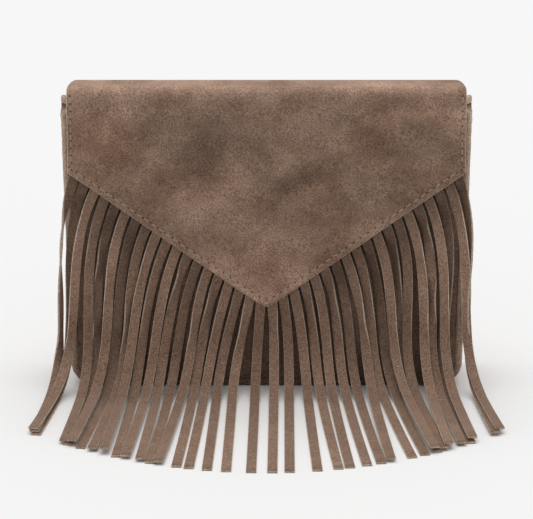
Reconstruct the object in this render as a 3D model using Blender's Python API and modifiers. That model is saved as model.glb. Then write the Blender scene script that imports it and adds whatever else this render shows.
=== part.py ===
"""Fringed suede bag: a pentagon flap over a wedge-shaped body, with a slit suede band under the V.

X is the bag's width, its front faces -Y and +Z is up. The origin is the middle of the base,
on the floor. The bag stands upright; the fringe falls down the front and lies forward on the floor.
"""

import bmesh
import bpy
import numpy as np
from math import atan, cos, hypot, pi, sin
from mathutils import Matrix

MM = 0.001

# Body, in millimetres
BODY_WIDTH_TOP = 225.4
BODY_WIDTH_BOTTOM = 219.0
PANEL_HEIGHT = 157.5
DEPTH_TOP = 22.0
DEPTH_BOTTOM = 40.0
CORNER_RADIUS = 14.0
SUEDE = 1.3
LINING = 0.8
BOARD = 1.6
WELT_RADIUS = 2.0
BINDING_HEIGHT = 4.0
BINDING_OVERLAP = 0.3
BINDING_CORNER = 4.5
GAP = 0.3

# Flap
EAR = 4.2
FOLD_RISE = 8.2
FLAP_SIDE_LENGTH = 46.3
FLAP_V_DEPTH = 75.3
FLAP_TIP_ROUND = 2.2
TOP_CORNER_RADIUS = 5.0
FOLD_INNER_RADIUS = 4.0
FLAP_STANDOFF = 3.4
FLAP_LINING_INSET = 1.2
HINGE_ABOVE_BINDING = 0.7
STIFFENER_SIDE_INSET = 7.0
STIFFENER_TOP_INSET = 12.0

# Fringe
STRIPS_PER_SIDE = 19
STRIP_THICKNESS = 1.2
STRIP_WIDTH = 5.3
SLIT = 0.35
HEADER = 9.7
SLIT_START = 1.6
FRINGE_SIDE_INSET = 0.9
WALL_LAYER_PITCH = 2.0
FLOOR_LAYER_PITCH = 1.5
REAR_LAYER_OFFSET = 1.2
BEND_RADIUS = 30.0
REACH_AT_CENTRE = 149.0
REACH_FALL = 0.0035
LEAN = 0.45
LEAN_SLOTS = 3.0
KNEE_FORWARD = 43.9
KNEE_SLOPE_SHARE = 0.85
FLOOR_SHARE = 0.325
PARTING_LENGTH = 22.0

# Magnetic snap
SNAP_ABOVE_TIP = 26.9
CUP_RADIUS = 9.0
CUP_THICKNESS = 1.5
CUP_RECESS_RADIUS = 4.2
CUP_RECESS = 0.6
STUD_RADIUS = 8.0
STUD_THICKNESS = 1.0
POST_RADIUS = 2.0
WASHER_RADIUS = 7.0
WASHER_THICKNESS = 0.8

# Each strip from the V's tip outwards: where it comes down to the floor (its knee) and where it ends,
# both across the bag in mm, then its layer against the panel and its layer on the floor.
LEFT_STRIPS = [
    (-6.5, -8.0, 1, 0), (-19.0, -21.0, 2, 0), (-27.0, -31.0, 1, 0), (-34.5, -40.5, 2, 0),
    (-40.0, -47.0, 1, 0), (-46.0, -56.5, 2, 1), (-53.0, -61.0, 0, 0), (-59.5, -66.0, 1, 1),
    (-66.0, -75.0, 2, 1), (-72.0, -80.0, 1, 0), (-78.5, -86.5, 2, 2), (-83.5, -93.0, 1, 1),
    (-89.0, -98.5, 0, 0), (-95.0, -103.0, 2, 2), (-99.5, -105.5, 0, 0), (-102.5, -107.5, 1, 1),
    (-117.0, -125.0, 2, 2), (-116.5, -123.5, 0, 0), (-119.5, -124.5, 1, 1)]
RIGHT_STRIPS = [
    (4.0, 3.0, 2, 0), (12.5, 12.0, 1, 0), (23.0, 26.5, 2, 0), (30.5, 37.5, 1, 0),
    (37.0, 43.5, 2, 0), (44.5, 52.5, 1, 0), (51.5, 60.0, 0, 0), (59.0, 65.0, 2, 1),
    (65.5, 76.5, 1, 0), (72.5, 83.5, 0, 0), (77.5, 88.5, 2, 2), (79.5, 90.5, 0, 0),
    (83.5, 93.5, 1, 1), (91.0, 96.5, 2, 2), (96.5, 103.5, 1, 1), (103.5, 109.5, 2, 2),
    (102.0, 108.5, 0, 0), (117.0, 125.0, 2, 2), (115.0, 119.0, 1, 1)]

HEADER_ROWS = np.array([1.0, 0.5])
FLAP_PIECES = ["flap_outer", "flap_stiffener", "flap_lining", "fringe_left", "fringe_right",
               "snap_stud", "snap_stud_washer"]

# Worked out from the sizes above
TAPER = (DEPTH_BOTTOM - DEPTH_TOP) / 2 / PANEL_HEIGHT
TILT = atan(TAPER)
SEAM_INSET = 2 * WELT_RADIUS + GAP
BINDING_THICKNESS = SUEDE + GAP + LINING + BINDING_OVERLAP
BINDING_BOTTOM = PANEL_HEIGHT + GAP
HINGE_Z = BINDING_BOTTOM + BINDING_HEIGHT + HINGE_ABOVE_BINDING
FLAP_WIDTH = BODY_WIDTH_TOP - 2 * EAR
FLAP_TOP = HINGE_Z + FOLD_RISE
FLAP_TIP = FLAP_TOP - FLAP_SIDE_LENGTH - FLAP_V_DEPTH
FLAP_STACK = LINING + GAP + STRIP_THICKNESS + GAP + SUEDE
MIDDLE_OFFSET = FLAP_STANDOFF + LINING + GAP + STRIP_THICKNESS / 2
FLAP_SLOPE = FLAP_V_DEPTH / (hypot(FLAP_WIDTH / 2, FLAP_TIP_ROUND) - FLAP_TIP_ROUND)
SNAP_HEIGHT = FLAP_TIP + SNAP_ABOVE_TIP
POST_HOLE_RADIUS = POST_RADIUS + GAP


def half_depth(z):
    """Half the body's depth at height z: it narrows evenly upwards."""
    return DEPTH_BOTTOM / 2 - TAPER * z


def flap_edge(x):
    """Height of the flap's lower edge at x: two straight slopes with a rounded tip (a hyperbola)."""
    rounded = np.sqrt(np.square(x) + FLAP_TIP_ROUND ** 2) - FLAP_TIP_ROUND
    return FLAP_TIP + FLAP_SLOPE * rounded


def clear_scene():
    for item in list(bpy.data.objects):
        bpy.data.objects.remove(item, do_unlink=True)


def principled(name, colour, roughness, metallic=0.0):
    material = bpy.data.materials.new(name)
    material.use_nodes = True
    shader = material.node_tree.nodes["Principled BSDF"]
    shader.inputs["Base Color"].default_value = (*colour, 1.0)
    shader.inputs["Roughness"].default_value = roughness
    shader.inputs["Metallic"].default_value = metallic
    material.diffuse_color = (*colour, 1.0)
    return material


def add_object(name, mesh, material, collection):
    mesh.name = name
    mesh.materials.clear()
    mesh.materials.append(material)
    part = bpy.data.objects.new(name, mesh)
    collection.objects.link(part)
    return part


def solidify(part, thickness, offset=0.0):
    """Give an open surface its thickness; offset 0 grows it both ways, -1 against its normal."""
    wall = part.modifiers.new("wall", "SOLIDIFY")
    wall.thickness = thickness * MM
    wall.offset = offset
    wall.use_even_offset = True


def grid_mesh(points, cut=None):
    """A grid primitive whose vertices are moved to points[column, row] in mm.

    cut(column, row) is true for the cells that are taken out.
    """
    columns, rows = points.shape[0] - 1, points.shape[1] - 1
    mesh = bpy.data.meshes.new("grid")
    build = bmesh.new()
    bmesh.ops.create_grid(build, x_segments=columns, y_segments=rows, size=0.5)
    cell = {}
    for vertex in build.verts:
        column = round((vertex.co.x + 0.5) * columns)
        row = round((vertex.co.y + 0.5) * rows)
        cell[vertex] = (column, row)
        vertex.co = points[column, row] * MM
    if cut:
        corners = {face: min(cell[v] for v in face.verts) for face in build.faces}
        gone = [face for face, corner in corners.items() if cut(*corner)]
        bmesh.ops.delete(build, geom=gone, context="FACES")
    build.to_mesh(mesh)
    build.free()
    return mesh


def slab(name, outline, thickness, placement, material, collection, holes=()):
    """A flat outline in mm as a filled 2D curve, thickened evenly and made a welded mesh."""
    curve = bpy.data.curves.new(name, "CURVE")
    curve.dimensions = "2D"
    curve.fill_mode = "BOTH"
    curve.extrude = thickness * MM / 2
    for ring in (outline, *holes):
        spline = curve.splines.new("POLY")
        spline.points.add(len(ring) - 1)
        spline.use_cyclic_u = True
        for point, (x, y) in zip(spline.points, ring):
            point.co = (x * MM, y * MM, 0.0, 1.0)
    drawn = bpy.data.objects.new(name, curve)
    collection.objects.link(drawn)
    evaluated = drawn.evaluated_get(bpy.context.evaluated_depsgraph_get())
    mesh = bpy.data.meshes.new_from_object(evaluated)
    bpy.data.objects.remove(drawn, do_unlink=True)
    build = bmesh.new()
    build.from_mesh(mesh)
    bmesh.ops.remove_doubles(build, verts=build.verts, dist=0.00001)
    bmesh.ops.recalc_face_normals(build, faces=build.faces)
    build.to_mesh(mesh)
    build.free()
    part = add_object(name, mesh, material, collection)
    part.matrix_world = placement
    return part


def round_edges(part, width, segments=2):
    bevel = part.modifiers.new("rounded", "BEVEL")
    bevel.width = width * MM
    bevel.segments = segments
    bevel.limit_method = "ANGLE"


def circle(radius, centre=(0.0, 0.0), count=24):
    turns = [2 * pi * i / count for i in range(count)]
    return [(centre[0] + radius * cos(a), centre[1] + radius * sin(a)) for a in turns]


def front_plane(offset):
    """Places a drawing of (x, length up the panel) on the front, offset mm outside its face."""
    turn = Matrix.Rotation(pi / 2 - TILT, 4, "X")
    out = (DEPTH_BOTTOM / 2 + offset / cos(TILT)) * MM
    return Matrix.Translation((0.0, -out, 0.0)) @ turn


def back_plane(offset):
    """The same for the back: the front's placement turned half round about Z."""
    return Matrix.Rotation(pi, 4, "Z") @ front_plane(offset)


def up_panel(z):
    """Length along the tilted panel that reaches height z."""
    return z / cos(TILT)


def half_width(z):
    """Half the body's width at height z."""
    share = (z - CORNER_RADIUS) / (PANEL_HEIGHT - CORNER_RADIUS)
    return (BODY_WIDTH_BOTTOM + (BODY_WIDTH_TOP - BODY_WIDTH_BOTTOM) * max(share, 0.0)) / 2


def body_outline(side_inset, bottom_inset, top, corner_steps=6, side_steps=4):
    """The U of the body seen from the front, from its right top round to its left top.

    Straight sides, then a quarter ellipse round each lower corner, centred on the corner's centre.
    """
    centre = BODY_WIDTH_BOTTOM / 2 - CORNER_RADIUS
    wide, tall = CORNER_RADIUS - side_inset, CORNER_RADIUS - bottom_inset
    heights = [top + (CORNER_RADIUS - top) * i / side_steps for i in range(side_steps)]
    right = [(half_width(z) - side_inset, z) for z in heights]
    angles = [pi / 2 * i / corner_steps for i in range(corner_steps + 1)]
    right += [(centre + wide * cos(a), CORNER_RADIUS - tall * sin(a)) for a in angles]
    return right + [(-x, z) for x, z in reversed(right)]


def body_panel(name, thickness, face_offset, top, place, material, collection, holes=()):
    """A flat panel inside the welt: its outer face lies face_offset mm inside the body's face."""
    outline = [(x, up_panel(z)) for x, z in body_outline(SEAM_INSET, SEAM_INSET, top)]
    middle = -(face_offset + thickness / 2)
    return slab(name, outline, thickness, place(middle), material, collection, holes)


def gusset_band(name, thickness, side_inset, bottom_inset, edge_inset, material, collection):
    """A U-shaped band round sides and bottom, as deep as the body less edge_inset at each side."""
    route = np.array(body_outline(side_inset, bottom_inset, PANEL_HEIGHT))
    depth = half_depth(route[:, 1]) - edge_inset
    across = np.linspace(-1.0, 1.0, 3)
    points = np.empty((len(route), len(across), 3))
    points[:, :, 0] = route[:, 0, None]
    points[:, :, 1] = depth[:, None] * across[None, :]
    points[:, :, 2] = route[:, 1, None]
    band = add_object(name, grid_mesh(points), material, collection)
    solidify(band, thickness, offset=-1.0)
    return band


def seam_welt(name, side, material, collection):
    """Piping in the seam between a panel and the gusset; side is -1 at the front, 1 at the back."""
    curve = bpy.data.curves.new(name, "CURVE")
    curve.dimensions = "3D"
    curve.bevel_depth = WELT_RADIUS * MM
    curve.bevel_resolution = 2
    curve.use_fill_caps = True
    curve.materials.append(material)
    route = body_outline(WELT_RADIUS, WELT_RADIUS, PANEL_HEIGHT)
    spline = curve.splines.new("POLY")
    spline.points.add(len(route) - 1)
    for point, (x, z) in zip(spline.points, route):
        y = side * (half_depth(z) - WELT_RADIUS / cos(TILT))
        point.co = (x * MM, y * MM, z * MM, 1.0)
    welt = bpy.data.objects.new(name, curve)
    collection.objects.link(welt)
    return welt


def mouth_binding(material, collection):
    """The turned top edge: a U round the sides and front of the mouth, seen as the bag's ears."""
    half = BODY_WIDTH_TOP / 2
    front = half_depth(PANEL_HEIGHT)
    back = front - (SUEDE + GAP + LINING + GAP) / cos(TILT) - GAP
    steps = [pi / 2 * i / 5 for i in range(6)]

    def corner_route(inset):
        radius = BINDING_CORNER - inset
        centre = (half - BINDING_CORNER, -front + BINDING_CORNER)
        arc = [(centre[0] + radius * cos(a), centre[1] - radius * sin(a)) for a in steps]
        right = [(half - inset, back)] + arc
        return right + [(-x, y) for x, y in reversed(right)]

    outline = corner_route(0.0) + list(reversed(corner_route(BINDING_THICKNESS)))
    place = Matrix.Translation((0.0, 0.0, (BINDING_BOTTOM + BINDING_HEIGHT / 2) * MM))
    binding = slab("mouth_binding", outline, BINDING_HEIGHT, place, material, collection)
    round_edges(binding, 0.8)
    return binding


def base_board(material, collection):
    """Stiff board inside the bottom, between the gusset and its lining."""
    length = BODY_WIDTH_BOTTOM / 2 - CORNER_RADIUS
    depth = half_depth(0.0) - SEAM_INSET - GAP
    outline = [(-length, -depth), (length, -depth), (length, depth), (-length, depth)]
    place = Matrix.Translation((0.0, 0.0, (SUEDE + GAP + BOARD / 2) * MM))
    return slab("base_board", outline, BOARD, place, material, collection)


def make_body(suede, lining, board, collection):
    post_hole = circle(POST_HOLE_RADIUS, (0.0, up_panel(SNAP_HEIGHT)))
    body_panel("front_panel", SUEDE, 0.0, PANEL_HEIGHT, front_plane, suede, collection, [post_hole])
    body_panel("back_panel", SUEDE, 0.0, HINGE_Z - GAP / 2, back_plane, suede, collection)
    lining_face = SUEDE + GAP
    body_panel("lining_front", LINING, lining_face, PANEL_HEIGHT, front_plane, lining, collection,
               [post_hole])
    body_panel("lining_back", LINING, lining_face, HINGE_Z - GAP / 2, back_plane, lining, collection)
    gusset_band("gusset", SUEDE, 0.0, 0.0, SEAM_INSET, suede, collection)
    gusset_band("lining_gusset", LINING, SUEDE + GAP, SUEDE + GAP + BOARD + GAP,
                SEAM_INSET + GAP, lining, collection)
    seam_welt("seam_welt_front", -1.0, suede, collection)
    seam_welt("seam_welt_back", 1.0, suede, collection)
    mouth_binding(suede, collection)
    base_board(board, collection)


def flap_route(offset, edge, fold_steps=6, front_steps=6):
    """The flap's section in (y, z), offset mm outside the lining's inner face, down to height edge.

    It rises from the hinge, turns two quarter circles over the mouth, and runs down the front
    parallel to the panel.
    """
    back = half_depth(HINGE_Z) - FLAP_STACK + offset
    radius = FOLD_INNER_RADIUS + offset
    top = FLAP_TOP - FLAP_STACK + offset
    rise = [(back, HINGE_Z + GAP / 2)]
    turn = [pi / 2 * i / fold_steps for i in range(fold_steps + 1)]
    rise += [(back - radius + radius * cos(a), top - radius + radius * sin(a)) for a in turn]

    def front_y(z):
        return -(half_depth(z) + (FLAP_STANDOFF + offset) / cos(TILT))

    start = front_y(top - radius)
    fall = [(start + radius - radius * sin(a), top - radius + radius * cos(a)) for a in turn]
    heights = [top - radius + (edge - top + radius) * i / front_steps
               for i in range(1, front_steps + 1)]
    return rise + fall + [(front_y(z), z) for z in heights]


def corner_draw(depth):
    """How far the fold's ends are drawn in at a depth below its top: a quarter circle."""
    left = max(1.0 - max(depth, 0.0) / TOP_CORNER_RADIUS, 0.0)
    return TOP_CORNER_RADIUS * (1.0 - (1.0 - left * left) ** 0.5)


def flap_sheet(name, thickness, offset, inset, material, collection):
    """One layer of the flap: the section above, drawn at columns across the width."""
    half = FLAP_WIDTH / 2 - inset
    share = np.array([0.0, 0.015, 0.035, 0.08, 0.3, 0.65, 0.94, 1.0])
    right = half * share
    columns = np.concatenate([-right[:0:-1], right])
    edge = flap_edge(columns) + inset * hypot(1.0, FLAP_SLOPE)
    middle = offset + thickness / 2
    top = FLAP_TOP - FLAP_STACK + middle
    points = np.array([[(x * (1.0 - corner_draw(top - z) / half), y, z)
                        for y, z in flap_route(middle, low)] for x, low in zip(columns, edge)])
    sheet = add_object(name, grid_mesh(points), material, collection)
    solidify(sheet, thickness)
    return sheet


def flap_stiffener(material, collection):
    """Board between suede and lining, inside the fringe's header, with a hole for the stud's washer."""
    top = FLAP_TOP - STIFFENER_TOP_INSET
    half = FLAP_WIDTH / 2 - STIFFENER_SIDE_INSET
    clear = HEADER + GAP * 2
    low_side = flap_edge(half) + clear
    outline = [(-half, top), (-half, low_side), (0.0, FLAP_TIP + clear), (half, low_side), (half, top)]
    outline = [(x, up_panel(z)) for x, z in outline]
    hole = circle(WASHER_RADIUS + GAP, (0.0, up_panel(SNAP_HEIGHT)))
    return slab("flap_stiffener", outline, STRIP_THICKNESS, front_plane(MIDDLE_OFFSET),
                material, collection, [hole])


def strip_rows():
    """Shares along the wall, the bend and the floor at which a strip has a cross line."""
    wall = np.array([0.0, 0.05, 0.11, 0.19, 0.32, 0.5, 0.75, 1.0])
    bend = np.array([0.25, 0.5, 0.75, 1.0])
    floor = np.array([0.25, 0.5, 0.75, 1.0])
    return wall, bend, floor


def smooth(t):
    """0 to 1 with level ends: 3t^2 - 2t^3."""
    t = np.clip(t, 0.0, 1.0)
    return t * t * (3.0 - 2.0 * t)


def strip_line(slot, knee, tip, wall_layer, floor_layer, side):
    """Centre line of one strip as an array of (x, y, z), with its run from the slit and its normal.

    Down the panel, round a quarter circle and forward on the floor. Across the bag it follows a
    cubic from its slot to the knee, leaning outwards first, and then a parabola to its tip. Both are
    drawn over the sweep, the drop plus a share of the way forward, so the turn leaves no corner.
    """
    wall, bend, floor = strip_rows()
    pitch = slot_pitch()
    root = side * (GAP + (slot + 0.5) * pitch)
    start = flap_edge(root) + SLIT_START
    rest = STRIP_THICKNESS / 2 + FLOOR_LAYER_PITCH * floor_layer
    foot = rest + BEND_RADIUS
    wall_length = start - foot
    arc_length = BEND_RADIUS * pi / 2

    z = np.concatenate([start - wall_length * wall, foot - BEND_RADIUS * np.sin(bend * pi / 2),
                        np.full(len(floor), rest)])
    run = np.concatenate([wall_length * wall, wall_length + arc_length * bend])
    leaf = REAR_LAYER_OFFSET + WALL_LAYER_PITCH * wall_layer
    part = smooth((run - SLIT_START) / PARTING_LENGTH)
    off = MIDDLE_OFFSET + (leaf - MIDDLE_OFFSET) * part
    y = -(half_depth(np.maximum(z[:len(run)], foot)) + off)
    turned = y[len(wall):] - BEND_RADIUS * (1.0 - np.cos(bend * pi / 2))
    y[len(wall):] = turned
    reach = REACH_AT_CENTRE - REACH_FALL * tip * tip
    laid = y[-1] + (-reach - y[-1]) * floor
    run = np.concatenate([run, run[-1] + (y[-1] - laid)])
    y = np.concatenate([y, laid])

    sweep = start - z - FLOOR_SHARE * (y - y[0])
    to_knee = start - rest + FLOOR_SHARE * (KNEE_FORWARD + y[0])
    after = sweep[-1] - to_knee
    lean = side * LEAN * (1.0 - np.exp(-(slot + 0.5) / LEAN_SLOTS))
    slope = KNEE_SLOPE_SHARE * (tip - knee) / after
    t = np.clip(sweep / to_knee, 0.0, 1.0)
    hang = ((2 * t**3 - 3 * t**2 + 1) * root + (t**3 - 2 * t**2 + t) * to_knee * lean
            + (3 * t**2 - 2 * t**3) * knee + (t**3 - t**2) * to_knee * slope)
    past = np.maximum(sweep - to_knee, 0.0)
    bow = (tip - knee - slope * after) / after**2
    x = np.where(sweep < to_knee, hang, knee + slope * past + bow * past**2)

    angle = np.concatenate([np.zeros(len(wall)), bend, np.ones(len(floor))]) * pi / 2
    normal = np.stack([np.zeros(len(z)), -np.cos(angle), np.sin(angle)], axis=1)
    return np.stack([x, y, z], axis=1), run, normal


def slot_pitch():
    """Each strip's share of the V edge across the bag."""
    return (FLAP_WIDTH / 2 - FRINGE_SIDE_INSET - GAP) / STRIPS_PER_SIDE


def fringe_band(name, strips, side, material, collection):
    """One slit band: a header between the flap's suede and lining, and its strips below.

    Columns of the grid are the strips' two edges; between them lie the slits, whose cells are
    taken out below the header.
    """
    pitch = slot_pitch()
    columns = []
    for slot, (knee, tip, wall_layer, floor_layer) in enumerate(strips):
        line, run, normal = strip_line(slot, knee, tip, wall_layer, floor_layer, side)
        along = np.gradient(line, run, axis=0)
        across = np.cross(along, normal)
        across *= -STRIP_WIDTH / 2 / np.linalg.norm(across, axis=1)[:, None]
        freed = smooth(run / PARTING_LENGTH)[:, None]
        for edge in (-1.0, 1.0):
            x = line[0, 0] + edge * (pitch - SLIT) / 2
            low = flap_edge(x) + SLIT_START
            cut_row = np.array([x - line[0, 0], 0.0, low - line[0, 2]])
            drop = line + cut_row * (1.0 - freed) + edge * across * freed
            tops = low + (HEADER - SLIT_START) * HEADER_ROWS
            head = [(x, -(half_depth(z) + MIDDLE_OFFSET / cos(TILT)), z) for z in tops]
            columns.append(np.vstack([head, drop]))
    if side < 0:
        columns = [columns[i ^ 1] for i in range(len(columns))]
    points = np.array(columns)
    mesh = grid_mesh(points, cut=lambda column, row: column % 2 == 1 and row >= len(HEADER_ROWS))
    band = add_object(name, mesh, material, collection)
    solidify(band, STRIP_THICKNESS)
    return band


def turned_profile(name, profile, place, material, collection, steps=32):
    """A profile of (radius, height) in mm turned about its own Z, then placed."""
    mesh = bpy.data.meshes.new(name)
    build = bmesh.new()
    ring = [build.verts.new((r * MM, 0.0, h * MM)) for r, h in profile]
    for start, end in zip(ring, ring[1:]):
        build.edges.new((start, end))
    build.to_mesh(mesh)
    build.free()
    part = add_object(name, mesh, material, collection)
    part.matrix_world = place
    screw = part.modifiers.new("turned", "SCREW")
    screw.steps = steps
    screw.render_steps = steps
    screw.use_merge_vertices = True
    screw.merge_threshold = 0.00001
    return part


def washer_profile(thickness):
    inner, outer = POST_RADIUS + GAP, WASHER_RADIUS
    half = thickness / 2
    return [(outer, half), (outer, -half), (inner, -half), (inner, half), (outer, half)]


def magnetic_snap(metal, collection):
    """Cup on the front panel and stud on the flap, each with a post and a washer behind it."""
    def at(offset):
        lift = Matrix.Translation((0.0, up_panel(SNAP_HEIGHT) * MM, 0.0))
        return front_plane(offset) @ lift

    wall = SUEDE + GAP + LINING
    cup_face = GAP + CUP_THICKNESS
    post_end = -(wall + GAP + WASHER_THICKNESS)
    cup = [(0.0, cup_face - CUP_RECESS), (CUP_RECESS_RADIUS, cup_face - CUP_RECESS),
           (CUP_RECESS_RADIUS, cup_face), (CUP_RADIUS - 0.4, cup_face), (CUP_RADIUS, cup_face - 0.4),
           (CUP_RADIUS, GAP), (POST_RADIUS, GAP), (POST_RADIUS, post_end), (0.0, post_end)]
    turned_profile("snap_cup", cup, at(0.0), metal, collection)
    washer_at = -(wall + GAP + WASHER_THICKNESS / 2)
    turned_profile("snap_cup_washer", washer_profile(WASHER_THICKNESS), at(washer_at), metal, collection)

    stud_back = FLAP_STANDOFF - GAP
    stud_face = stud_back - STUD_THICKNESS
    nub = stud_face - (CUP_RECESS - GAP)
    post_top = FLAP_STANDOFF + LINING + GAP + STRIP_THICKNESS
    stud = [(0.0, post_top), (POST_RADIUS, post_top), (POST_RADIUS, stud_back), (STUD_RADIUS, stud_back),
            (STUD_RADIUS, stud_face), (CUP_RECESS_RADIUS - 2 * GAP, stud_face),
            (CUP_RECESS_RADIUS - 2 * GAP, nub), (0.0, nub)]
    turned_profile("snap_stud", stud, at(0.0), metal, collection)
    middle = FLAP_STANDOFF + LINING + GAP + STRIP_THICKNESS / 2
    turned_profile("snap_stud_washer", washer_profile(WASHER_THICKNESS), at(middle), metal, collection)


def make_flap(suede, lining, board, collection):
    outer_offset = FLAP_STACK - SUEDE
    flap_sheet("flap_outer", SUEDE, outer_offset, 0.0, suede, collection)
    flap_stiffener(board, collection)
    flap_lining = flap_sheet("flap_lining", LINING, 0.0, FLAP_LINING_INSET, lining, collection)
    pierce(flap_lining, collection)
    fringe_band("fringe_left", LEFT_STRIPS, -1.0, suede, collection)
    fringe_band("fringe_right", RIGHT_STRIPS, 1.0, suede, collection)


def pierce(part, collection):
    """Cut the stud's post hole through a layer of the flap."""
    lift = Matrix.Translation((0.0, up_panel(SNAP_HEIGHT) * MM, 0.0))
    bpy.ops.mesh.primitive_cylinder_add(vertices=24, radius=POST_HOLE_RADIUS * MM,
                                        depth=4 * LINING * MM)
    cutter = bpy.context.active_object
    cutter.name = "post_hole_cutter"
    cutter.matrix_world = front_plane(FLAP_STANDOFF + LINING / 2) @ lift
    cutter.hide_render = True
    cutter.display_type = "WIRE"
    hole = part.modifiers.new("post hole", "BOOLEAN")
    hole.object = cutter
    hole.operation = "DIFFERENCE"


def hang_on_hinge(names, collection):
    """An empty on the flap's fold line, clear of the back panel's face, carries all that moves."""
    hinge = bpy.data.objects.new("flap_hinge", None)
    collection.objects.link(hinge)
    place = Matrix.Translation((0.0, (half_depth(HINGE_Z) + GAP) * MM, HINGE_Z * MM))
    hinge.matrix_world = place
    for name in names:
        part = collection.objects[name]
        part.parent = hinge
        part.matrix_parent_inverse = place.inverted()


def smooth_round_pieces(collection):
    for part in collection.objects:
        if part.type == "MESH":
            part.data.shade_smooth()
            part.data.set_sharp_from_angle(angle=pi / 5)


def main():
    clear_scene()
    collection = bpy.data.collections.new("fringed_suede_bag")
    bpy.context.scene.collection.children.link(collection)
    suede = principled("taupe_suede", (0.215, 0.145, 0.105), 0.95)
    lining = principled("brown_cotton_lining", (0.12, 0.085, 0.065), 0.9)
    board = principled("grey_board", (0.30, 0.28, 0.25), 0.85)
    metal = principled("nickel_plated_steel", (0.55, 0.54, 0.52), 0.3, 1.0)
    make_body(suede, lining, board, collection)
    make_flap(suede, lining, board, collection)
    magnetic_snap(metal, collection)
    hang_on_hinge(FLAP_PIECES, collection)
    smooth_round_pieces(collection)


main()
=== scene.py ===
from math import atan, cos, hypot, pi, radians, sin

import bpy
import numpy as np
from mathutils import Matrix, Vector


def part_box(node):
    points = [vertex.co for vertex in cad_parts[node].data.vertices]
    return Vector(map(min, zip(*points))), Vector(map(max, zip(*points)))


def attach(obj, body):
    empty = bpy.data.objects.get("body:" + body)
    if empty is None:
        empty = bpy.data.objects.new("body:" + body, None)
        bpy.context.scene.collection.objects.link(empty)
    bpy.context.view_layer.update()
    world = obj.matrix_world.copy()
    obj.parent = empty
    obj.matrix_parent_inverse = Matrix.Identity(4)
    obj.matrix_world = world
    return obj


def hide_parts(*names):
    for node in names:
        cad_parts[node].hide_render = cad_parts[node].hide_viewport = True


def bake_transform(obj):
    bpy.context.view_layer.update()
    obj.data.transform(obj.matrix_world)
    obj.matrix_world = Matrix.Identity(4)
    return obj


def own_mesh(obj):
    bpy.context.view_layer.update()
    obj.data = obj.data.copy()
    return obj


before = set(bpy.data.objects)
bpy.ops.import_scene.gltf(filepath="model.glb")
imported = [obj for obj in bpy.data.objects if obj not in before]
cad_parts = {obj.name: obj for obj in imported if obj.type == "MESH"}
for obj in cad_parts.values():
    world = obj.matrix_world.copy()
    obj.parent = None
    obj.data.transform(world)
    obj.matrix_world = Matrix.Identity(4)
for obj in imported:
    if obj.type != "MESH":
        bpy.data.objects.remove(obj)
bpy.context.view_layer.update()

# %% [markdown]
# # A fringed suede bag
# The bag is a wedge-shaped pouch of soft suede. One long piece of suede is its back and runs on over
# the top as a pentagon flap, and a slit band of the same hide is caught under the flap's V edge.
# Nearly everything here is sheet: thin, limp, with a fuzzy nap and a bare cut edge. So each piece is
# worked out as a surface on a grid of two parameters, or as a small section carried along a path,
# and gets its thickness from the same function.

MM = 0.001

# %% [markdown]
# ## Sizes
# The frame is the finished pattern. What its boxes tell is read from them: the flap's width, top and
# tip, and the height at which the back turns into the flap. The rest are the pattern's own numbers,
# in millimetres, and they say how deep the wedge is and how the layers lie on each other.

# %% Sizes read from the frame


def node_box(name):
    """Lowest and highest corner of a CAD node, in millimetres."""
    low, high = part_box(name)
    return np.array(low) / MM, np.array(high) / MM


flap_low, flap_high = node_box("flap_outer")
back_high = node_box("back_panel")[1]
gusset_high = node_box("gusset")[1]
binding_low, binding_high = node_box("mouth_binding")
FLAP_HALF = flap_high[0]
FLAP_TOP = flap_high[2]
FLAP_TIP = flap_low[2]
BODY_HALF_TOP = gusset_high[0]
PANEL_HEIGHT = gusset_high[2]
print("flap half width, top and tip:", FLAP_HALF.round(1), FLAP_TOP.round(1), FLAP_TIP.round(1))

# %% Sizes of the pattern
GAP = 0.3
HINGE_Z = back_high[2] + GAP / 2
HALF_DEPTH_BASE = 20.0
HALF_DEPTH_MOUTH = 11.0
TAPER = (HALF_DEPTH_BASE - HALF_DEPTH_MOUTH) / PANEL_HEIGHT
TILT = atan(TAPER)
BODY_HALF_BASE = 109.5
CORNER_RADIUS = 14.0
SUEDE = 1.3
LINING = 0.8
BOARD = 1.6
WELT_RADIUS = 2.0
SEAM_INSET = 2 * WELT_RADIUS + GAP
FLAP_SIDE_LENGTH = 46.3
FLAP_TIP_ROUND = 2.2
V_HEIGHT = FLAP_TOP - FLAP_SIDE_LENGTH - FLAP_TIP
FLAP_SLOPE = V_HEIGHT / (hypot(FLAP_HALF, FLAP_TIP_ROUND) - FLAP_TIP_ROUND)
FOLD_INNER_RADIUS = 4.0
FLAP_STANDOFF = 3.4
STRIP_THICKNESS = 1.2
FLAP_STACK = LINING + GAP + STRIP_THICKNESS + GAP + SUEDE
SUEDE_MIDDLE = FLAP_STACK - SUEDE / 2
LINING_MIDDLE = LINING / 2
BAND_MIDDLE = FLAP_STANDOFF + LINING + GAP + STRIP_THICKNESS / 2
print("the wedge leans in by", round(np.degrees(TILT), 2), "degrees")

# %% The wedge and the V as formulas


def half_depth(z):
    """Half the body's depth at height z: a straight line from the base to the mouth."""
    return HALF_DEPTH_BASE - TAPER * z


def half_width(z):
    """Half the body's width at height z: straight sides above the lower corners."""
    share = np.clip((z - CORNER_RADIUS) / (PANEL_HEIGHT - CORNER_RADIUS), 0.0, None)
    return BODY_HALF_BASE + (BODY_HALF_TOP - BODY_HALF_BASE) * share


def flap_edge(x):
    """Height of the flap's lower edge: two slopes that meet in a hyperbola's rounded tip."""
    return FLAP_TIP + FLAP_SLOPE * (np.sqrt(np.square(x) + FLAP_TIP_ROUND**2) - FLAP_TIP_ROUND)


def smooth(t):
    """0 to 1 with level ends: three t squared less two t cubed."""
    t = np.clip(t, 0.0, 1.0)
    return t * t * (3.0 - 2.0 * t)


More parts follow.
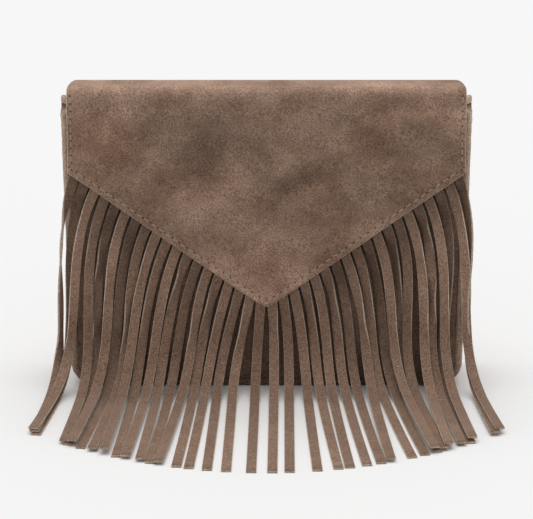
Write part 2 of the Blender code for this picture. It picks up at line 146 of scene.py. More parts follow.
print("V edge at the sides:", round(float(flap_edge(FLAP_HALF)), 1), "mm up")

# %% [markdown]
# ## From arrays to meshes
# A hide has two faces and a cut edge. Solidify could give a surface its thickness, but then the cut
# edge couldn't be told from the face in the material. Built here, the edge is a ring of its own
# points, which carry a value of 1 in the attribute cut_edge_and_sheen. Its lighter colour is partly the
# bare edge's own and partly a painted highlight, and welts and binding use it for a painted sheen.

# %% Mesh, sheet and carried section


def make_piece(name, points, faces, material, values):
    """A smooth-shaded object at the origin; values are its point attributes, one array each."""
    mesh = bpy.data.meshes.new(name)
    mesh.from_pydata((points * MM).tolist(), [], faces)
    mesh.polygons.foreach_set("use_smooth", np.ones(len(mesh.polygons), dtype=bool))
    for key, numbers in values.items():
        attribute = mesh.attributes.new(key, "FLOAT", "POINT")
        attribute.data.foreach_set("value", np.asarray(numbers, dtype=np.float32).ravel())
    mesh.materials.append(material)
    piece = bpy.data.objects.new(name, mesh)
    bpy.context.scene.collection.objects.link(piece)
    print(name, len(mesh.vertices), "points")
    return piece


def grid(x, y, z):
    """Points from three arrays, each repeated until all have one shape."""
    return np.stack(np.broadcast_arrays(x, y, z), axis=-1)


def grid_quads(numbers):
    """Corner numbers of the cells of a grid of point numbers."""
    corners = (numbers[:-1, :-1], numbers[1:, :-1], numbers[1:, 1:], numbers[:-1, 1:])
    return np.stack(corners, axis=-1).reshape(-1, 4)


def unit(vectors):
    """Vectors divided by their lengths."""
    return vectors / np.maximum(np.linalg.norm(vectors, axis=-1, keepdims=True), 1e-9)


def run_along(points):
    """Distance of each point of a line from its first: the sum of the steps so far."""
    return np.concatenate([[0.0], np.cumsum(np.linalg.norm(np.diff(points, axis=0), axis=1))])


def circle(count, radius=1.0):
    """count points evenly round a circle, as (count, 2)."""
    angle = np.linspace(0.0, 2 * pi, count, endpoint=False)
    return radius * np.stack([np.cos(angle), np.sin(angle)], axis=1)


RIM_SHARE = 0.35


def sheet_solid(points, thickness):
    """Both faces and the rounded rim of a sheet whose middle surface is points[a, b].

    Each face is the middle moved half the thickness along the normal, the cross product of the
    grid's two directions. The rim is the border pushed outwards by a share of the thickness.
    """
    along_a = unit(np.gradient(points, axis=0))
    along_b = unit(np.gradient(points, axis=1))
    normal = unit(np.cross(along_a, along_b))
    outward = np.zeros_like(points)
    outward[:, 0] -= along_b[:, 0]
    outward[:, -1] += along_b[:, -1]
    outward[0] -= along_a[0]
    outward[-1] += along_a[-1]
    rows, columns = points.shape[:2]
    upper = np.arange(rows * columns).reshape(rows, columns)
    border = np.concatenate([upper[:-1, 0], upper[-1, :-1], upper[:0:-1, -1], upper[0, :0:-1]])
    rim_points = (points + unit(outward) * thickness * RIM_SHARE).reshape(-1, 3)[border]
    lower = upper + rows * columns
    rim = np.arange(len(border)) + 2 * rows * columns
    ahead = np.roll(border, -1)
    rim_ahead = np.roll(rim, -1)
    faces = np.concatenate([
        grid_quads(upper), grid_quads(lower)[:, ::-1],
        np.stack([border, rim, rim_ahead, ahead], axis=1),
        np.stack([rim, border + rows * columns, ahead + rows * columns, rim_ahead], axis=1)])
    moved = normal * thickness / 2
    solid = np.concatenate([(points + moved).reshape(-1, 3), (points - moved).reshape(-1, 3),
                            rim_points])
    return solid, faces.tolist(), border


def sheet_piece(name, points, thickness, material, values=None):
    """A sheet as an object; values on the grid are repeated for the other face and the rim.

    The attribute cut_edge_and_sheen is 1 on the rim and 0 on the faces.
    """
    solid, faces, border = sheet_solid(points, thickness)
    flat = points.shape[0] * points.shape[1]
    repeated = {key: np.concatenate([v.ravel(), v.ravel(), v.ravel()[border]])
                for key, v in (values or {}).items()}
    repeated["cut_edge_and_sheen"] = np.concatenate([np.zeros(2 * flat), np.ones(len(border))])
    return make_piece(name, solid, faces, material, repeated)


def carried(path, normal, section):
    """Points and faces of a section carried along many paths at once, with flat ends.

    path and normal are arrays of path, station and xyz. The section's first number goes along the
    cross product of normal and tangent, its second along the normal made square to the tangent.
    """
    tangent = unit(np.gradient(path, axis=1))
    side = unit(np.cross(normal, tangent))
    up = np.cross(tangent, side)
    across, height = section[..., 0], section[..., 1]
    points = (path[:, :, None] + side[:, :, None] * across[..., None]
              + up[:, :, None] * height[..., None])
    paths, stations, around = points.shape[:3]
    numbers = np.arange(paths * stations * around).reshape(paths, stations, around)
    ring = np.concatenate([numbers, numbers[:, :, :1]], axis=2)
    corners = (ring[:, :-1, :-1], ring[:, :-1, 1:], ring[:, 1:, 1:], ring[:, 1:, :-1])
    faces = np.stack(corners, axis=-1).reshape(-1, 4).tolist()
    faces += numbers[:, 0, ::-1].tolist() + numbers[:, -1].tolist()
    return points.reshape(-1, 3), faces


def declare(piece, body, slot, *node_names):
    """Hide the CAD nodes that a piece stands for, and hang the piece on the body that it rides on; slot
    is not used.
    """
    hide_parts(*node_names)
    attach(piece, body)


def blend_at_fold(piece, near, far):
    """Bake a piece's placement into its mesh; near and far are not used."""
    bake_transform(piece)


print("helpers ready")

# %% [markdown]
# ## Suede
# Suede is the flesh side of a hide, buffed until its fibres stand up as a nap. The nap scatters light
# evenly, shows no gloss, glows a little at grazing angles and turns darker or lighter where a hand has
# brushed it, in clouds two to five centimetres wide. Its fibre bundles are about 0.4 mm wide. That is
# too fine to show from the camera, so the nap is drawn at 0.85 mm. The colour runs between two hex
# values, with a third for the cut edge, and the pattern is three noises, each scaled from a size in
# millimetres. Point attributes carry what a noise can't know: cut edges, brushed patches, and painted
# light and shade: a painted highlight on the fold and the rolls, and painted shade under the flap's
# edge, on the rear strips and on the panel behind the fringe. The lighter cut edge is partly the bare
# edge's own colour and partly a painted highlight, and on the rolls the same colour is painted sheen.

# %% Colours and nodes


def linear(hex_colour):
    """An sRGB hex colour as linear red, green, blue and alpha, by the sRGB curve."""
    encoded = np.array([int(hex_colour[i:i + 2], 16) for i in (1, 3, 5)]) / 255.0
    curve = np.where(encoded <= 0.04045, encoded / 12.92, ((encoded + 0.055) / 1.055) ** 2.4)
    return (*curve.tolist(), 1.0)


def add_node(tree, kind, inputs=None, **settings):
    """Add one node; an input's value is a number, a colour or the output that feeds it."""
    node = tree.nodes.new(kind)
    for key, value in settings.items():
        setattr(node, key, value)
    for key, value in (inputs or {}).items():
        if isinstance(value, bpy.types.NodeSocket):
            tree.links.new(value, node.inputs[key])
        else:
            node.inputs[key].default_value = value
    return node


def new_material(name):
    """A material with its node tree and its shader."""
    material = bpy.data.materials.new(name)
    material.use_nodes = True
    tree = material.node_tree
    return material, tree, tree.nodes["Principled BSDF"]


def noise(tree, size_mm, detail, roughness=0.5, distortion=0.0):
    """Noise from 0 to 1 on Object coordinates, its features about size_mm wide."""
    place = add_node(tree, "ShaderNodeTexCoord").outputs["Object"]
    inputs = {"Vector": place, "Scale": 1.0 / (size_mm * MM), "Detail": detail, "Roughness": roughness,
              "Distortion": distortion}
    return add_node(tree, "ShaderNodeTexNoise", inputs).outputs["Fac"]


def attribute(tree, name):
    """The value of a point attribute."""
    return add_node(tree, "ShaderNodeAttribute", attribute_name=name).outputs["Fac"]


def math(tree, operation, one, other):
    """One number from two."""
    return add_node(tree, "ShaderNodeMath", {0: one, 1: other}, operation=operation).outputs[0]


def spread(tree, value, least, most, low=0.3, high=0.7):
    """least to most as value goes from low to high, and level outside."""
    inputs = {0: value, 1: low, 2: high, 3: least, 4: most}
    return add_node(tree, "ShaderNodeMapRange", inputs).outputs[0]


def mixed(tree, share, one, other):
    """One colour turning into the other as share goes from 0 to 1."""
    return add_node(tree, "ShaderNodeMix", {0: share, 6: one, 7: other}, data_type="RGBA").outputs[2]


def surface(tree, shader, colour, height, strength, depth_mm, roughness):
    """The shader's colour, its bump from height, and its roughness."""
    relief = add_node(tree, "ShaderNodeBump",
                      {"Strength": strength, "Distance": depth_mm * MM, "Height": height})
    tree.links.new(colour, shader.inputs["Base Color"])
    tree.links.new(relief.outputs["Normal"], shader.inputs["Normal"])
    shader.inputs["Roughness"].default_value = roughness


# %% Thread holes along the flap's edges
SIDE_INSET = 1.7
VEE_INSET = 2.7
SIDE_PITCH = 4.1
VEE_PITCH = 4.9
HOLE_RADIUS = 0.65


def hole_mask(tree, across_name, along_name, inset, pitch):
    """1 inside the needle holes of one seam line and 0 outside.

    The distance to the nearest hole is the root of the squares of the distance off the line and of
    the distance along it to the nearest whole pitch.
    """
    off = math(tree, "SUBTRACT", attribute(tree, across_name), inset)
    near = math(tree, "PINGPONG", attribute(tree, along_name), pitch / 2)
    both = add_node(tree, "ShaderNodeCombineXYZ", {0: off, 1: near})
    away = add_node(tree, "ShaderNodeVectorMath", {0: both.outputs[0]}, operation="LENGTH")
    mask = add_node(tree, "ShaderNodeMapRange",
                    {0: away.outputs["Value"], 1: HOLE_RADIUS, 2: HOLE_RADIUS * 0.5, 3: 0.0, 4: 1.0},
                    interpolation_type="SMOOTHSTEP")
    return mask.outputs[0]


# %% The suede material
SUEDE_DARK = "#6e5546"
SUEDE_LIGHT = "#9f8472"
# Lighter cut edge: partly the bare edge's own colour, partly a painted highlight; on welts and binding a
# painted sheen
CUT_EDGE_AND_SHEEN = "#b5a493"
# Painted shade in the needle holes, which the mesh doesn't cut
HOLE_SHADE_COLOUR = "#3b2d24"
SHEEN_COLOUR = "#ddd2c4"
NAP = 0.85


def suede(name, cloud_share, holes=False):
    """Buffed suede: brushed clouds, mottle and nap in the colour, nap in the bump, sheen on top."""
    material, tree, shader = new_material(name)
    clouds = noise(tree, 26, 5.0, 0.55, 0.15)
    mottle = noise(tree, 5, 3.0, 0.6)
    nap = noise(tree, NAP, 3.0, 0.6)
    cloudy = spread(tree, clouds, 0.5 - cloud_share / 2, 0.5 + cloud_share / 2, 0.34, 0.66)
    base = mixed(tree, cloudy, linear(SUEDE_DARK), linear(SUEDE_LIGHT))
    level = math(tree, "MULTIPLY", spread(tree, mottle, 0.92, 1.08), spread(tree, nap, 0.5, 1.5))
    # The tone attribute: the hide's own brushed and random tone, plus painted highlight and painted
    # shade
    level = math(tree, "MULTIPLY", level, math(tree, "ADD", attribute(tree, "tone"), 1.0))
    # Cut edge colour, partly its own and partly painted highlight; painted sheen on the rolls
    edged = mixed(tree, attribute(tree, "cut_edge_and_sheen"), base, linear(CUT_EDGE_AND_SHEEN))
    colour = add_node(tree, "ShaderNodeVectorMath", {0: edged, 3: level}, operation="SCALE").outputs[0]
    # Painted shade in the needle holes
    if holes:
        sides = hole_mask(tree, "side_across", "side_along", SIDE_INSET, SIDE_PITCH)
        vee = hole_mask(tree, "vee_across", "vee_along", VEE_INSET, VEE_PITCH)
        colour = mixed(tree, math(tree, "MAXIMUM", sides, vee), colour, linear(HOLE_SHADE_COLOUR))
    surface(tree, shader, colour, nap, 0.5, 0.25, 0.95)
    shader.inputs["Specular IOR Level"].default_value = 0.15
    shader.inputs["Sheen Weight"].default_value = 0.8
    shader.inputs["Sheen Roughness"].default_value = 0.32
    shader.inputs["Sheen Tint"].default_value = linear(SHEEN_COLOUR)
    return material


flap_suede = suede("buffed_suede_flap", 0.85, holes=True)
body_suede = suede("buffed_suede_body", 0.45)
fringe_suede = suede("buffed_suede_fringe", 0.25)
print("suede:", flap_suede.name, body_suede.name, fringe_suede.name)

# %% [markdown]
# ## Thread, lining, board and metal
# The thread is spun polyester, dyed to match the hide and a little lighter and smoother than it. The
# lining is cotton twill: its diagonal ribs are 0.6 mm apart, too fine to show, and drawn 1.5 mm apart.
# The board is grey bonded fibre, with short flecks. The snap is steel under nickel, with a soft polish.

# %% Thread
THREAD = "#ab9784"


def spun_thread(name):
    """Spun polyester: soft gloss, and a fine twist along the yarn."""
    material, tree, shader = new_material(name)
    fibre = noise(tree, 0.25, 2.0)
    colour = add_node(tree, "ShaderNodeVectorMath",
                      {0: linear(THREAD)[:3], 3: spread(tree, fibre, 0.85, 1.1)}, operation="SCALE")
    surface(tree, shader, colour.outputs[0], fibre, 0.4, 0.1, 0.7)
    shader.inputs["Sheen Weight"].default_value = 0.15
    return material


# %% Cotton twill
TWILL_RIB = 1.5
TWILL_DARK = "#57483c"
TWILL_LIGHT = "#6b5a4b"


def cotton_twill(name):
    """Twill: a wave across the diagonal for the ribs, and noise for uneven yarn.

    A diagonal band turns once over 2 pi tenths of the sum of its coordinates, and on an upright
    sheet that is a root of 2 nearer.
    """
    material, tree, shader = new_material(name)
    place = add_node(tree, "ShaderNodeTexCoord").outputs["Object"]
    ribs = add_node(tree, "ShaderNodeTexWave",
                    {"Vector": place, "Scale": 2 * pi / (10 * 2**0.5 * TWILL_RIB * MM),
                     "Distortion": 0.4, "Detail": 2.0}, wave_type="BANDS", bands_direction="DIAGONAL")
    height = math(tree, "MULTIPLY", ribs.outputs["Fac"], noise(tree, 1.2, 3.0))
    colour = mixed(tree, height, linear(TWILL_DARK), linear(TWILL_LIGHT))
    surface(tree, shader, colour, height, 0.5, 0.2, 0.9)
    shader.inputs["Sheen Weight"].default_value = 0.1
    return material


# %% Fibre board
BOARD_DARK = "#8f8a80"
BOARD_LIGHT = "#b3aea2"


def fibre_board(name):
    """Bonded fibre board: grey pulp with lighter flecks about 1.5 mm long."""
    material, tree, shader = new_material(name)
    flecks = noise(tree, 1.5, 4.0, 0.7)
    colour = mixed(tree, flecks, linear(BOARD_DARK), linear(BOARD_LIGHT))
    surface(tree, shader, colour, flecks, 0.3, 0.1, 0.85)
    return material


# %% Nickel-plated steel
NICKEL_DARK = "#a9a49b"
NICKEL_LIGHT = "#cfcac0"


def nickel_plate(name):
    """Nickel: a warm white metal, with a faint uneven polish about 0.4 mm across."""
    material, tree, shader = new_material(name)
    polish = noise(tree, 0.4, 3.0, 0.6)
    colour = mixed(tree, polish, linear(NICKEL_DARK), linear(NICKEL_LIGHT))
    surface(tree, shader, colour, polish, 0.15, 0.02, 0.28)
    shader.inputs["Metallic"].default_value = 1.0
    return material


thread = spun_thread("spun_polyester_thread")
twill = cotton_twill("cotton_twill_lining")
board = fibre_board("bonded_fibre_board")
nickel = nickel_plate("nickel_plated_steel")
for node_name in ("snap_cup", "snap_cup_washer", "snap_stud", "snap_stud_washer"):
    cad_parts[node_name].material_slots[0].material = nickel
for node_name in ("base_board", "flap_stiffener"):
    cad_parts[node_name].material_slots[0].material = board
print("metal on the four snap parts, board on two boards")

# %% [markdown]
# ## Back and flap
# On the real bag the back and the flap are cut as one piece, which is why no seam shows along the top.
# It could be modelled flat and folded by a cloth simulation, but the fold is simple: up the back, a
# quarter circle, straight over the mouth, a quarter circle, and down the front to the V. That section
# is swept across the width, with each column ending on the V. Small waves and two faint creases,
# where the flap has been bent open, keep it from looking like card. The fold's crest gets a painted
# highlight for the light it catches, and patches on the flap are brushed darker or lighter.

# %% Shares of a length, closer together at its ends


def crowded(count, crowding=0.7):
    """Shares from 0 to 1, crowded at both ends: t less a sine of one turn."""
    t = np.linspace(0.0, 1.0, count)
    return t - crowding * np.sin(2 * pi * t) / (2 * pi)


COLUMN_SHARES = np.concatenate([-crowded(61)[:0:-1], crowded(61)])
print(len(COLUMN_SHARES), "columns across the flap")

# %% The section of back and flap
FOLD_STATIONS = 9
FOLD_CLEARANCE = 4.0
PANEL_ROWS = 30
FRONT_ROWS = 58
TOP_CORNER_WIDTH = 4.4
TOP_CORNER_HEIGHT = 6.0
CORNER_LEAN = radians(18)


def corner_draw(points):
    """How far the fold's ends are drawn in: a quarter ellipse below the highest point.

    Height is measured along a line that leans back, so that front and rear of the fold keep
    the same outline and neither looks out behind the other.
    """
    height = points[:, :, 2] * cos(CORNER_LEAN) + points[:, :, 1] * sin(CORNER_LEAN)
    left = np.clip(1.0 - (height.max() - height) / TOP_CORNER_HEIGHT, 0.0, 1.0)
    return TOP_CORNER_WIDTH * (1.0 - np.sqrt(1.0 - left**2))


def corner_half_width(z, inset):
    """Half width of a panel inset from the body's outline: an ellipse round each lower corner."""
    centre = BODY_HALF_BASE - CORNER_RADIUS
    radius = CORNER_RADIUS - inset
    down = np.clip((CORNER_RADIUS - z) / radius, 0.0, 1.0)
    on_corner = centre + radius * np.sqrt(1.0 - down**2)
    return np.where(z < CORNER_RADIUS, on_corner, half_width(z) - inset)


def panel_heights(top, inset, rows):
    """Heights up a panel: evenly round the lower corner's quarter circle, then crowded to the top."""
    angle = np.linspace(pi / 2, 0.0, 10)
    corner = CORNER_RADIUS - (CORNER_RADIUS - inset) * np.sin(angle)
    return np.concatenate([corner, CORNER_RADIUS + (top - CORNER_RADIUS) * crowded(rows)[1:]])


def folded_sheet(middle, back_inset, side_inset):
    """Middle surface of a sheet that is the back and the flap in one, and its first row on the front.

    middle is its distance outside the flap lining's inner face, back_inset its depth inside the
    back's face, side_inset how far it stays inside the flap's outline.
    """
    half = FLAP_HALF - side_inset
    x_flap = half * COLUMN_SHARES
    z_back = panel_heights(HINGE_Z - FOLD_CLEARANCE, SEAM_INSET, PANEL_ROWS)
    x_back = corner_half_width(z_back, SEAM_INSET)[:, None] * COLUMN_SHARES[None, :]
    y_back = half_depth(z_back) - back_inset / cos(TILT)

    hinge_y = half_depth(HINGE_Z) - FLAP_STACK + middle
    radius = FOLD_INNER_RADIUS + middle
    top = FLAP_TOP - FLAP_STACK + middle
    turn = np.linspace(0.0, pi / 2, FOLD_STATIONS)
    shoulder = top - radius
    front_offset = (FLAP_STANDOFF + middle) / cos(TILT)
    start = -(half_depth(shoulder) + front_offset)
    over = np.linspace(hinge_y - radius, start + radius, 8)[1:-1]
    y_fold = np.concatenate([hinge_y - radius + radius * np.cos(turn), over,
                             start + radius - radius * np.sin(turn)])
    z_fold = np.concatenate([shoulder + radius * np.sin(turn), np.full(len(over), top),
                             shoulder + radius * np.cos(turn)])

    edge = flap_edge(x_flap) + side_inset * hypot(1.0, FLAP_SLOPE)
    share = crowded(FRONT_ROWS)[1:]
    z_front = shoulder + (edge[None, :] - shoulder) * share[:, None]
    y_front = -(half_depth(z_front) + front_offset)

    points = np.concatenate([grid(x_back, y_back[:, None], z_back[:, None]),
                             grid(x_flap, y_fold[:, None], z_fold[:, None]),
                             grid(x_flap, y_front, z_front)])
    points[:, :, 0] *= 1.0 - corner_draw(points) / half
    return points, len(z_back) + len(z_fold)


# %% Waves, creases and the stitched margin
WAVE_HEIGHT = 0.35
CREASE_HEIGHT = 0.5
CREASE_WIDTH = 1.2
CREASES = ((-64.0, -12.0, 116.0, 0.012), (52.0, 96.0, 116.5, -0.02))
MARGIN_DIP = 0.3
SIDE_DIP_WIDTH = 0.7
VEE_DIP_WIDTH = 1.0
# Painted highlight on the fold's crest, and how far down from the top it reaches
FOLD_HIGHLIGHT = 0.45
FOLD_HIGHLIGHT_HEIGHT = 4.0
EDGE_CURL = 0.8
EDGE_CURL_WIDTH = 2.2
RIM_TONE = 0.1
RIM_WIDTH = 0.9


def waves(x, z):
    """Slow unevenness of a soft hide: three slanting sines, each 47 to 83 mm long across the bag."""
    return (0.5 * np.sin(2 * pi * (x / 83.0 + z / 140.0) + 0.7)
            + 0.3 * np.sin(2 * pi * (x / 51.0 - z / 62.0) + 2.1)
            + 0.2 * np.sin(2 * pi * (x / 47.0 + z / 55.0) + 4.4))


def creases(x, z):
    """Faint ridges: a bell curve across each crease and a bell along it."""
    total = np.zeros_like(x)
    for start, end, height, lean in CREASES:
        middle, reach = (start + end) / 2, (end - start) / 2
        line = height + lean * (x - middle)
        total += np.exp(-((z - line) / CREASE_WIDTH) ** 2) * np.exp(-((x - middle) / reach) ** 4)
    return total


# Where a hand has brushed the nap: centre across and up, half size across and up, and its tone
BRUSHED = (
    (-92, 145, 20, 20, 0.4), (-74, 141, 14, 12, 0.17), (-32, 159, 28, 7, -0.14),
    (-36, 142, 32, 15, -0.38), (-8, 143, 13, 12, -0.12), (0, 160, 8, 7, 0.2),
    (24, 144, 8, 7, -0.12), (40, 156, 11, 11, -0.26), (54, 140, 10, 10, 0.12),
    (86, 158, 25, 8, 0.56), (91, 142, 18, 9, -0.38), (-80, 111, 11, 6, -0.14),
    (-53, 114, 13, 6, 0.3), (-36, 122, 9, 6, 0.1), (-21, 106, 12, 11, 0.24),
    (11, 120, 12, 8, -0.3), (32, 124, 30, 8, -0.12), (30, 113, 9, 6, 0.24),
    (57, 116, 20, 10, -0.18), (-33, 88, 12, 7, -0.14), (-5, 90, 7, 8, 0.12),
    (16, 88, 10, 7, -0.18), (49, 91, 12, 9, 0.2), (-2, 63, 32, 18, 0.42))


def brushed(x, z):
    """Tone of the brushed patches: a sum of bell curves, their outlines bent by three sines.

    The sines shift the place by 3 to 5 mm and are 19 to 57 mm long, so no patch is an ellipse.
    """
    x = x + 5.0 * np.sin(z / 7.3) + 3.0 * np.sin(z / 3.1 + x / 9.0)
    z = z + 3.5 * np.sin(x / 8.7 + 1.0)
    return sum(tone * np.exp(-((x - across) / wide) ** 2 - ((z - up) / tall) ** 2)
               for across, up, wide, tall, tone in BRUSHED)


def stitched_margin(side_across, vee_across):
    """Where the thread pulls the hide down: a bell curve on each seam line, the deeper one wins."""
    side_dip = np.exp(-((side_across - SIDE_INSET) / SIDE_DIP_WIDTH) ** 2)
    vee_dip = np.exp(-((vee_across - VEE_INSET) / VEE_DIP_WIDTH) ** 2)
    return np.maximum(side_dip, vee_dip)


# %% The suede of back and flap in one
shell, front_row = folded_sheet(SUEDE_MIDDLE, SUEDE / 2, 0.0)
FAR = 60.0
SEAM_ROWS_ON_FOLD = 6
SETTLE_HEIGHT = 20.0
V_LENGTH = hypot(1.0, FLAP_SLOPE)
section_step = np.linalg.norm(np.diff(shell[:, :, 1:], axis=0), axis=2)
section_run = np.concatenate([np.zeros((1, shell.shape[1])), np.cumsum(section_step, axis=0)])
side_along = np.abs(section_run - section_run[front_row])
side_across = FLAP_HALF - np.abs(FLAP_HALF * COLUMN_SHARES)[None, :] + np.zeros_like(side_along)
seam_row = front_row - SEAM_ROWS_ON_FOLD
side_across[:seam_row] = FAR
vee_across = np.full_like(side_along, FAR)
vee_across[front_row:] = (shell[front_row:, :, 2] - flap_edge(shell[front_row:, :, 0])) / V_LENGTH
vee_along = np.abs(shell[:, :, 0]) * V_LENGTH

on_front = slice(front_row - FOLD_STATIONS, None)
front_x, front_z = shell[on_front, :, 0], shell[on_front, :, 2]
settle = smooth((FLAP_TOP - front_z) / SETTLE_HEIGHT)
shell[on_front, :, 1] -= settle * (WAVE_HEIGHT * waves(front_x, front_z)
                                   + CREASE_HEIGHT * creases(front_x, front_z))
shell[on_front, :, 1] += MARGIN_DIP * stitched_margin(side_across[on_front], vee_across[on_front])
shell[on_front, :, 1] -= EDGE_CURL * np.exp(-(vee_across[on_front] / EDGE_CURL_WIDTH) ** 2)
flap_tone = np.zeros_like(side_along)
flap_tone[on_front] = brushed(front_x, front_z) * settle
# Painted highlight along the fold's crest, for the light it catches at a grazing angle
flap_tone += FOLD_HIGHLIGHT * smooth((shell[:, :, 2] - FLAP_TOP + FOLD_HIGHLIGHT_HEIGHT) / FOLD_HIGHLIGHT_HEIGHT)
to_edge = np.minimum(side_across, vee_across)
flap_tone += RIM_TONE * np.exp(-(to_edge / RIM_WIDTH) ** 2) * (side_across < FAR)
flap_and_back = sheet_piece("flap_and_back_suede", shell[::-1], SUEDE, flap_suede,
                            {"tone": flap_tone[::-1], "side_across": side_across[::-1],
                             "side_along": side_along[::-1], "vee_across": vee_across[::-1],
                             "vee_along": vee_along[::-1]})


def grid_area(points):
    """Area of a grid surface in square metres: half the cross product of each cell's diagonals."""
    one = points[1:, 1:] - points[:-1, :-1]
    other = points[1:, :-1] - points[:-1, 1:]
    return float(np.linalg.norm(np.cross(one, other), axis=2).sum() / 2 * MM * MM)


def flat_size(points):
    """Width and length of the cut: across the flap and along the middle column."""
    middle = points[:, points.shape[1] // 2]
    length = np.linalg.norm(np.diff(middle, axis=0), axis=1).sum()
    return float(np.ptp(points[:, :, 0]) * MM), float(length * MM)


SUEDE_BLEND = (9.4, 3.0)
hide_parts("flap_outer", "back_panel")
blend_at_fold(flap_and_back, *SUEDE_BLEND)
print("cut of back and flap:", np.round(flat_size(shell), 3), "m, area", round(grid_area(shell), 4))

# %% [markdown]
# ## Lining of back and flap
# The twill behind the suede is one cut too, 1.2 mm smaller all round on the flap. It is seen when the
# flap is open. It follows the same section, nearer the middle of the fold.

# %% The twill of back and flap in one
LINING_INSET = 1.2
LINING_DEPTH = SUEDE + GAP + LINING / 2
inner = folded_sheet(LINING_MIDDLE, LINING_DEPTH, LINING_INSET)[0]
flap_and_back_lining = sheet_piece("flap_and_back_lining", inner[::-1], LINING, twill)
LINING_BLEND = (7.0, 1.0)
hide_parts("flap_lining", "lining_back")
blend_at_fold(flap_and_back_lining, *LINING_BLEND)

# %% [markdown]
# ## The mouth's front corners
# The flap pulls the front of the mouth in, so that only the rear half of each side stands out beside
# it, as a small ear. Front panel, gusset, welts and binding all follow one rule, so they stay
# together.

# %% The draw of the mouth
MOUTH_DRAW = 5.2
MOUTH_DRAW_HEIGHT = 3.0
MOUTH_DRAW_REAR = 4.0
MOUTH_DRAW_LENGTH = 8.0


def drawn_in(points):
    """Points moved towards the middle: the draw times a smooth step up and a smooth step forward."""
    up = smooth((points[..., 2] - PANEL_HEIGHT + MOUTH_DRAW_HEIGHT) / MOUTH_DRAW_HEIGHT)
    forward = smooth((MOUTH_DRAW_REAR - points[..., 1]) / MOUTH_DRAW_LENGTH)
    moved = points.copy()
    moved[..., 0] *= 1.0 - MOUTH_DRAW / BODY_HALF_TOP * up * forward
    return moved


print("the mouth is drawn in by", MOUTH_DRAW, "mm at each front corner")

# %% [markdown]
# ## Front panel and its lining
# The front is a plain panel, sewn into the welt all round except at the mouth. Between the strips it
# shows dark, with painted shade for the fringe over it, less at the open corners. Its face dips where
# it turns into the seam.

# %% Front panel
SEAM_DIP = 0.7
LINING_DIP = 0.3
SEAM_DIP_WIDTH = 3.0
PANEL_WAVE = 0.25
PANEL_COLUMNS = COLUMN_SHARES[::2]


def front_sheet(face_offset, top, dip):
    """A panel on the front: the wedge's plane, inset by face_offset, dipping towards its seam."""
    z = panel_heights(top, SEAM_INSET, PANEL_ROWS)[:, None]
    half = corner_half_width(z, SEAM_INSET)
    x = half * PANEL_COLUMNS
    to_seam = np.minimum(half * (1.0 - np.abs(PANEL_COLUMNS)), z - SEAM_INSET)
    sink = dip * np.exp(-to_seam / SEAM_DIP_WIDTH)
    y = -(half_depth(z) - face_offset / cos(TILT)) + sink + PANEL_WAVE * waves(x, z)
    return drawn_in(grid(x, y, z))


# Painted shade on the front panel for the fringe's shadow over it, eased at the open corners
FRONT_SHADE = -0.45
CORNER_LESS_SHADE = 0.28
CORNER_START = 90.0
CORNER_WIDTH = 15.0


def painted_front_shade(x):
    """Painted shade where the fringe lies over the panel, easing by a smooth step towards the open
    corners.
    """
    return FRONT_SHADE + CORNER_LESS_SHADE * smooth((np.abs(x) - CORNER_START) / CORNER_WIDTH)


front_points = front_sheet(SUEDE / 2, PANEL_HEIGHT, SEAM_DIP)
front_panel = sheet_piece("front_panel_suede", front_points, SUEDE, body_suede,
                          {"tone": painted_front_shade(front_points[:, :, 0])})
front_lining = sheet_piece("front_lining_twill", front_sheet(LINING_DEPTH, PANEL_HEIGHT, LINING_DIP),
                           LINING, twill)
declare(front_panel, "bag", "suede", "front_panel")
declare(front_lining, "bag", "lining", "lining_front")

# %% [markdown]
# ## Gusset
# One band runs down one side, under the base and up the other. Sewn between two stiff seams it sags
# inwards a little at the sides, and gathers into small puckers beside the thread. Near the mouth the
# binding spreads it outwards again and shades it.

# %% The U of the body


def mirrored(x, other):
    """The right half of a route and its mirror image, as x and the other coordinate."""
    return np.concatenate([x, -x[-2::-1]]), np.concatenate([other, other[-2::-1]])


def body_route(inset):
    """The U seen from the front, right top to left top, as x and z, inset from the outline."""
    centre = BODY_HALF_BASE - CORNER_RADIUS
    radius = CORNER_RADIUS - inset
    z_side = PANEL_HEIGHT - (PANEL_HEIGHT - CORNER_RADIUS) * crowded(46)
    angle = np.linspace(0.0, pi / 2, 16)[1:]
    x_base = np.linspace(centre, 0.0, 46)[1:]
    x = np.concatenate([half_width(z_side) - inset, centre + radius * np.cos(angle), x_base])
    z = np.concatenate([z_side, CORNER_RADIUS - radius * np.sin(angle), np.full(len(x_base), inset)])
    return mirrored(x, z)


GUSSET_SAG = 1.4
MOUTH_SWELL = 2.1
MOUTH_SWELL_HEIGHT = 30.0
GUSSET_TONE = 0.25
GUSSET_SHADE = 0.7
GUSSET_SHADE_HEIGHT = 2.2
PUCKER = 0.3
PUCKER_LENGTH = 8.5
SLOW_PUCKER_LENGTH = 13.7


